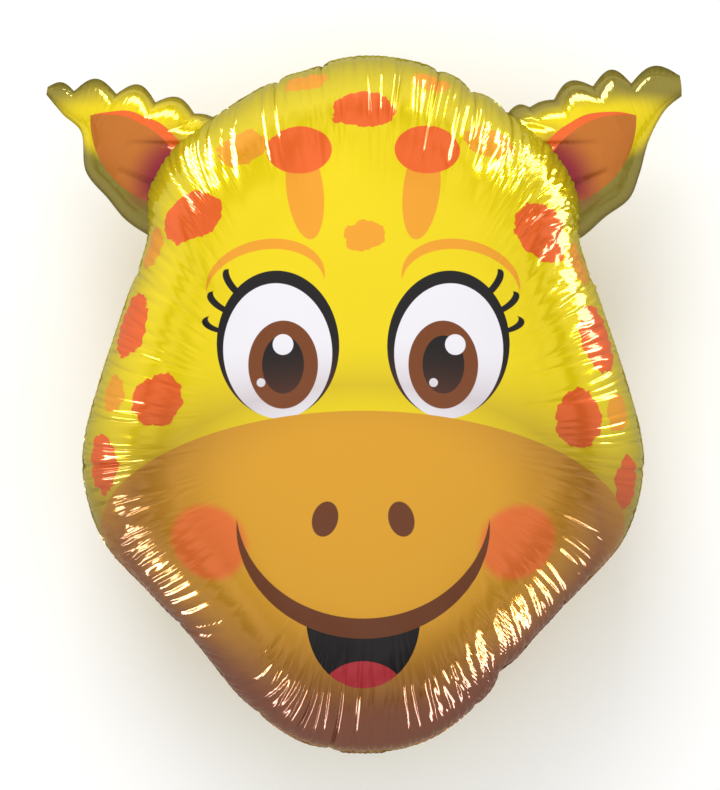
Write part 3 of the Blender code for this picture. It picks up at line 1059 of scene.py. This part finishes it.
class Print:
    """The inks of one sheet, laid over each other. Its shapes are in millimetres on
    the film, and a shape is a number above 0 inside it."""

    def __init__(self, name, ground, patch_edge):
        self.material = bpy.data.materials.new(name)
        self.material.use_nodes = True
        self.tree = self.material.node_tree
        place = self.tree.nodes.new("ShaderNodeUVMap")
        place.uv_map = "film"
        self.place = place.outputs["UV"]
        node = self.tree.nodes.new("ShaderNodeSeparateXYZ")
        self.tree.links.new(self.place, node.inputs[0])
        self.x, self.y = (Number(self.tree, node.outputs[axis]) * MILLIMETRES
                          for axis in (0, 1))
        self.rough_x, self.rough_y = self.wobbled(patch_edge)
        self.colour = self.ink_colour(ground)
        cover = self.tree.nodes.new("ShaderNodeValue")
        cover.outputs[0].default_value = 0.0
        self.cover = Number(self.tree, cover.outputs[0])

    def ink_colour(self, name):
        """The colour of an ink from the settings."""
        node = self.tree.nodes.new("ShaderNodeRGB")
        node.outputs[0].default_value = (*getattr(print_settings(), name), 1.0)
        return node.outputs[0]

    def wobbled(self, amount):
        """The place moved about a little, for shapes with uneven edges."""
        noise = noise_node(self.tree, self.place, PATCH_EDGE_SCALE, PATCH_EDGE_DETAIL)
        node = self.tree.nodes.new("ShaderNodeSeparateColor")
        self.tree.links.new(noise["Color"], node.inputs[0])
        moved = [Number(self.tree, node.outputs[axis]) - 0.5 for axis in (0, 1)]
        return self.x + moved[0] * amount, self.y + moved[1] * amount

    def oval(self, centre, half_size, degrees=0.0, rough=False):
        """An oval, with its distances in millimetres near its edge."""
        turn = math.radians(degrees)
        x, y = (self.rough_x, self.rough_y) if rough else (self.x, self.y)
        x, y = x - centre[0], y - centre[1]
        along = x * (math.cos(turn) / half_size[0]) + y * (math.sin(turn) / half_size[0])
        over = y * (math.cos(turn) / half_size[1]) - x * (math.sin(turn) / half_size[1])
        share = (along * along + over * over).math("SQRT")
        return (share * -1 + 1.0) * min(half_size)

    def crescent(self, centre, half_size, degrees, shift):
        """An oval with the same oval, moved by shift, cut out of it."""
        cut = (centre[0] + shift[0], centre[1] + shift[1])
        return self.oval(centre, half_size, degrees).without(self.oval(cut, half_size, degrees))

    def leaf(self, centre, half_size, degrees):
        """Where two circles overlap: pointed at both ends of its length."""
        length, width = half_size
        radius = (length**2 + width**2) / (2 * width)
        turn = math.radians(degrees)
        off = ((radius - width) * -math.sin(turn), (radius - width) * math.cos(turn))
        circles = [self.oval((centre[0] + sign * off[0], centre[1] + sign * off[1]),
                             (radius, radius)) for sign in (1, -1)]
        return circles[0].both(circles[1])

    def ink(self, shape, name, edge=INK_EDGE):
        """Lay an ink over the shape. A shape's edge is soft over this many millimetres."""
        share = shape.ramp(-edge, edge)
        mix = self.tree.nodes.new("ShaderNodeMix")
        mix.data_type = "RGBA"
        self.tree.links.new(share.socket, mix.inputs["Factor"])
        self.tree.links.new(self.colour, mix.inputs["A"])
        self.tree.links.new(self.ink_colour(name), mix.inputs["B"])
        self.colour = mix.outputs["Result"]
        self.cover = self.cover * (share * -1 + 1.0) + share * INK_COVER.get(name, 0.0)

    def finish(self):
        """Metallised film under the inks, with fine waves in its gloss."""
        inputs = self.tree.nodes["Principled BSDF"].inputs
        metal = self.cover * (METAL_UNDER_INK - METAL) + METAL
        noise = noise_node(self.tree, self.place, FILM_NOISE_SCALE, FILM_NOISE_DETAIL)
        rough = Number(self.tree, noise["Fac"]) * ROUGHNESS_RANGE + ROUGHNESS
        bump = self.tree.nodes.new("ShaderNodeBump")
        bump.inputs["Strength"].default_value = FILM_BUMP
        bump.inputs["Distance"].default_value = FILM_BUMP_DISTANCE
        self.tree.links.new(noise["Fac"], bump.inputs["Height"])
        for socket, name in ((self.colour, "Base Color"), (metal.socket, "Metallic"),
                             (rough.socket, "Roughness"), (bump.outputs["Normal"], "Normal")):
            self.tree.links.new(socket, inputs[name])
        for name, value in GLOSS.items():
            inputs[name].default_value = value
        return self.material


def mirrored(shape, side):
    """A shape's middle, half size and turn on the right (side 1) or the left (side -1)."""
    centre, half_size, *degrees = shape
    return ((centre[0] * side, centre[1]), half_size, side * sum(degrees))


def print_eye(face, side):
    """One eye with its lid, lashes and brow."""
    lid_middle, lid_size, lid_turn = mirrored(LID, side)
    for reach, degrees in LASHES:
        turn = math.radians(degrees)
        root = (lid_middle[0] + side * reach * math.cos(turn),
                lid_middle[1] + reach * math.sin(turn))
        cut = (side * LASH_CUT[0], LASH_CUT[1])
        lash = face.crescent(root, LASH_HALF_SIZE, side * (degrees + LASH_LEAN), cut)
        face.ink(lash, "dark")
    face.ink(face.oval(lid_middle, lid_size, lid_turn), "dark")
    eye = mirrored(EYE, side)
    white = face.oval(*eye)
    face.ink(white, "white")
    face.ink(face.oval(*mirrored(IRIS, side)).both(white), "iris")
    face.ink(face.oval(*mirrored(PUPIL, side)).both(white), "dark")
    for offset, radius in EYE_LIGHTS:
        place = (eye[0][0] + offset[0], eye[0][1] + offset[1])
        face.ink(face.oval(place, (radius, radius)), "white")
    face.ink(face.crescent(*mirrored(BROW, side), BROW_CUT), "amber")


def print_muzzle(face):
    """The muzzle, its brown towards the chin deepened by painted shade, nostrils, blush and smile.
    """
    muzzle = face.oval(*MUZZLE)
    face.ink(muzzle, "tan")
    face.ink((face.oval(*MUZZLE_LIGHT) * -1).both(muzzle), "brown", MUZZLE_LIGHT_EDGE)
    for side in (-1, 1):
        face.ink(face.oval(*mirrored(CHEEK, side)), "blush", CHEEK_EDGE)
        face.ink(face.oval(*mirrored(NOSTRIL, side)), "nostril")
    centre, half_size = SMILE
    above = face.oval((centre[0] + SMILE_CUT[0], centre[1] + SMILE_CUT[1]), half_size)
    mouth = face.oval(*MOUTH).without(above)
    face.ink(mouth, "dark")
    face.ink(face.oval(*TONGUE).both(mouth), "tongue")
    face.ink(face.crescent(centre, half_size, 0.0, SMILE_CUT), "nostril")


def print_coat(sheet, dark_patches, light_patches):
    """The coat's painted shade towards the weld, and its patches."""
    sheet.ink(sheet.oval(*FACE_SHADE) * -1, "olive", FACE_SHADE_EDGE)
    for patches, name in ((dark_patches, "patch"), (light_patches, "amber")):
        for centre, half_size in patches:
            sheet.ink(sheet.oval(centre, half_size, rough=True), name)


def front_print():
    """The face: coat, horns with round tops, eyes and muzzle."""
    face = Print("printed_foil_front", "yellow", FRONT_PATCH_EDGE)
    print_coat(face, DARK_PATCHES, LIGHT_PATCHES)
    for side in (-1, 1):
        face.ink(face.oval(*mirrored(HORN, side)), "amber")
        face.ink(face.oval(*mirrored(HORN_TOP, side)), "patch")
    for side in (-1, 1):
        print_eye(face, side)
    print_muzzle(face)
    return face.finish()


def back_print():
    """The coat alone, with larger light patches."""
    back = Print("printed_foil_back", "yellow", BACK_PATCH_EDGE)
    print_coat(back, [], BACK_PATCHES)
    return back.finish()


def neck_print():
    """The neck is brown where it leaves the chin and yellow beyond the fold."""
    neck = Print("printed_foil_neck", "yellow", 0.0)
    neck.ink(neck.oval(*NECK_SHADE), "brown", NECK_SHADE_EDGE)
    return neck.finish()


def ear_print():
    """Both ears: yellow coat with painted shade towards the edges, orange insides, crimson at the
    head.
    """
    ears = Print("printed_foil_ears", "painted_ear_edge_shade", 0.0)
    middle, half_size, degrees = INNER_EAR
    before, after = math.radians(degrees), math.radians(degrees + INNER_EAR_BAND)
    lower = (middle[0] + half_size[0] * (math.cos(before) - math.cos(after)),
             middle[1] + half_size[0] * (math.sin(before) - math.sin(after)))
    under_band = (lower, half_size, degrees + INNER_EAR_BAND)
    for side in (-1, 1):
        ears.ink(ears.oval(*mirrored(EAR_COAT, side)), "yellow", EAR_COAT_EDGE)
    for side in (-1, 1):
        inside = ears.leaf(*mirrored(INNER_EAR, side))
        ears.ink(inside, "ear")
        root = ears.oval(*mirrored(INNER_EAR_ROOT, side))
        ears.ink(root.both(inside), "crimson", INNER_EAR_ROOT_EDGE)
        ears.ink(inside.without(ears.leaf(*mirrored(under_band, side))), "patch")
    return ears.finish()


def floor_material(colour):
    """Smooth pale paper."""
    material = bpy.data.materials.new("pale_floor")
    material.use_nodes = True
    tree = material.node_tree
    shader = tree.nodes["Principled BSDF"]
    place = tree.nodes.new("ShaderNodeTexCoord")
    noise = noise_node(tree, place.outputs["Generated"], FLOOR_NOISE_SCALE, FLOOR_NOISE_DETAIL)
    mix = tree.nodes.new("ShaderNodeMix")
    mix.data_type = "RGBA"
    mix.inputs["A"].default_value = (*colour, 1.0)
    mix.inputs["B"].default_value = (*[FLOOR_SHADE * part for part in colour], 1.0)
    tree.links.new(noise["Fac"], mix.inputs["Factor"])
    tree.links.new(mix.outputs["Result"], shader.inputs["Base Color"])
    shader.inputs["Roughness"].default_value = FLOOR_ROUGHNESS
    return material


def make_floor(studio):
    """A wide pale floor under the balloon."""
    bpy.ops.mesh.primitive_plane_add(size=FLOOR_SIZE, location=(0, 0, 0))
    floor = bpy.context.object
    floor.name = "floor"
    floor.data.materials.append(floor_material(studio.floor_colour))


def area_light(name, place, aim, along, size, brightness):
    """A rectangle light that faces a point with its length in a direction, of a
    brightness next to white."""
    back = (Vector(place) - Vector(aim)).normalized()
    side = Vector(along) - Vector(along).dot(back) * back
    side.normalize()
    data = bpy.data.lights.new(name, "AREA")
    data.shape = "RECTANGLE"
    data.size, data.size_y = size
    data.energy = brightness * math.pi * size[0] * size[1]
    light = bpy.data.objects.new(name, data)
    turned = Matrix((side, back.cross(side), back)).transposed()
    light.matrix_world = Matrix.Translation(place) @ turned.to_4x4()
    light.visible_camera = False
    bpy.context.scene.collection.objects.link(light)
    return light


def only_mirrored(light, pieces):
    """Let a light show in the gloss of these pieces alone."""
    light.visible_diffuse = False
    group = bpy.data.collections.new(light.name)
    for piece in pieces:
        group.objects.link(bpy.data.objects[piece])
    light.light_linking.receiver_collection = group


def mirrored_place(shape, degrees, share):
    """A place on the smooth film, and where a light stands that it mirrors upwards."""
    x, y = shape.place(degrees, share)
    near = np.array([(x, y), (x + SLOPE_STEP, y), (x, y + SLOPE_STEP)])
    heights = np.interp(shape.share(near), SECTION_RADIUS, SECTION_HEIGHT)
    height = seam_height() + heights * film_settings().half_depth
    slopes = (height[1:] - height[0]) / SLOPE_STEP
    normal = Vector((-slopes[0], -slopes[1], 1.0)).normalized()
    mirror = normal * (2 * normal.z) - Vector((0.0, 0.0, 1.0))
    film = Vector((x, y, height[0]))
    return film, film + mirror * GLINT_DISTANCE


def add_glints(brightness):
    """Small bright lights round the balloon that only show as glints on the film."""
    shape = HeadShape()
    for number, (first, second, width, share) in enumerate(GLINTS):
        ends = [mirrored_place(shape, *place) for place in (first, second)]
        film = (ends[0][0] + ends[1][0]) / 2
        place = (ends[0][1] + ends[1][1]) / 2
        along = ends[1][1] - ends[0][1]
        light = area_light(f"glint_{number}", place, film, along, (along.length, width),
                           brightness * share)
        only_mirrored(light, ["front_sheet"])
    for number, (place, aim) in enumerate(EAR_LIGHTS):
        light = area_light(f"ear_glint_{number}", place, aim, (1, 0, 0), EAR_LIGHT_SIZE,
                           brightness * EAR_LIGHT_SHARE)
        only_mirrored(light, [name for name, *_ in EARS])


def make_room(studio):
    """A room that is bright above and dim, with uneven walls, low down."""
    world = bpy.data.worlds.new("room")
    world.use_nodes = True
    tree = world.node_tree
    background = tree.nodes["Background"]
    place = tree.nodes.new("ShaderNodeTexCoord").outputs["Generated"]
    parts = tree.nodes.new("ShaderNodeSeparateXYZ")
    tree.links.new(place, parts.inputs[0])
    noise = noise_node(tree, place, WALL_PATCHES, 0.0)
    patchy = Number(tree, noise["Fac"]).ramp(*WALL_EDGE)
    walls = patchy * (studio.walls * WALL_CONTRAST) + studio.walls * (1 - WALL_CONTRAST / 2)
    level = Number(tree, parts.outputs["Z"]).ramp(*ROOM_SLOPE)
    strength = walls + level * (walls * -1 + studio.ceiling)
    tree.links.new(strength.socket, background.inputs["Strength"])
    background.inputs["Color"].default_value = (1.0, 1.0, 1.0, 1.0)
    bpy.context.scene.world = world
    bpy.context.scene.view_settings.view_transform = "Standard"


def make_lights(studio):
    """A large light above, one that models the film, and the lights for the glints."""
    for name, place, size, brightness in (
            ("overhead", OVERHEAD_PLACE, OVERHEAD_SIZE, studio.overhead),
            ("key", KEY_PLACE, KEY_SIZE, studio.key)):
        light = area_light(name, place, (0, 0, 0), (1, 0, 0), size, brightness)
        light.visible_glossy = False
    add_glints(studio.glints)
    make_room(studio)


def make_camera(studio):
    """A camera straight above the balloon, as far away as the picture's height needs."""
    data = bpy.data.cameras.new("camera")
    data.sensor_width = SENSOR
    data.lens = SENSOR * studio.camera_height / PICTURE_HEIGHT
    camera = bpy.data.objects.new("camera", data)
    camera.location = (*PICTURE_MIDDLE, seam_height() + studio.camera_height)
    bpy.context.scene.collection.objects.link(camera)
    bpy.context.scene.camera = camera


class BALLOON_OT_front_sheet(bpy.types.Operator):
    """Make the front sheet of film with the printed face"""

    bl_idname = "balloon.front_sheet"
    bl_label = "Front sheet"

    def execute(self, context):
        make_sheet("front_sheet", 1, front_print())
        return {"FINISHED"}


class BALLOON_OT_back_sheet(bpy.types.Operator):
    """Make the back sheet of film, on which the balloon lies"""

    bl_idname = "balloon.back_sheet"
    bl_label = "Back sheet"

    def execute(self, context):
        make_sheet("back_sheet", -1, back_print())
        return {"FINISHED"}


class BALLOON_OT_ears(bpy.types.Operator):
    """Make both ears. They need the back sheet's print"""

    bl_idname = "balloon.ears"
    bl_label = "Ears"

    def execute(self, context):
        materials = [ear_print(), bpy.data.materials["printed_foil_back"]]
        for number, ear in enumerate(EARS):
            make_ear(*ear, film_settings().seed + EAR_SEED + number, materials)
        return {"FINISHED"}


class BALLOON_OT_neck(bpy.types.Operator):
    """Make the filling neck behind the chin"""

    bl_idname = "balloon.neck"
    bl_label = "Filling neck"

    def execute(self, context):
        make_neck(neck_print())
        return {"FINISHED"}


class BALLOON_OT_studio(bpy.types.Operator):
    """Make the floor, the lights and the camera. The lights need the pieces"""

    bl_idname = "balloon.studio"
    bl_label = "Studio"

    def execute(self, context):
        studio = context.scene.balloon_studio
        make_floor(studio)
        make_lights(studio)
        make_camera(studio)
        return {"FINISHED"}


class BALLOON_PT_panel(bpy.types.Panel):
    """Buttons and settings of the balloon"""

    bl_idname = "BALLOON_PT_panel"
    bl_label = "Foil balloon"
    bl_space_type = "VIEW_3D"
    bl_region_type = "UI"
    bl_category = "Balloon"

    def draw(self, context):
        for operator in OPERATORS:
            self.layout.operator(operator.bl_idname)
        for name in SETTINGS:
            group = getattr(context.scene, name)
            column = self.layout.column(align=True)
            for key in group.__annotations__:
                column.prop(group, key)


OPERATORS = [
    BALLOON_OT_front_sheet, BALLOON_OT_back_sheet, BALLOON_OT_ears, BALLOON_OT_neck,
    BALLOON_OT_studio,
]
SETTINGS = {
    "balloon_film": FilmSettings,
    "balloon_print": PrintSettings,
    "balloon_studio": StudioSettings,
}


def register():
    for name, group in SETTINGS.items():
        bpy.utils.register_class(group)
        setattr(bpy.types.Scene, name, bpy.props.PointerProperty(type=group))
    for part in (*OPERATORS, BALLOON_PT_panel):
        bpy.utils.register_class(part)


def unregister():
    for part in (BALLOON_PT_panel, *reversed(OPERATORS)):
        bpy.utils.unregister_class(part)
    for name, group in SETTINGS.items():
        delattr(bpy.types.Scene, name)
        bpy.utils.unregister_class(group)


def main():
    """Make the balloon and its studio."""
    register()
    bpy.ops.balloon.front_sheet()
    bpy.ops.balloon.back_sheet()
    bpy.ops.balloon.ears()
    bpy.ops.balloon.neck()
    bpy.ops.balloon.studio()
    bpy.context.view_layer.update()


if __name__ == "__main__":
    main()
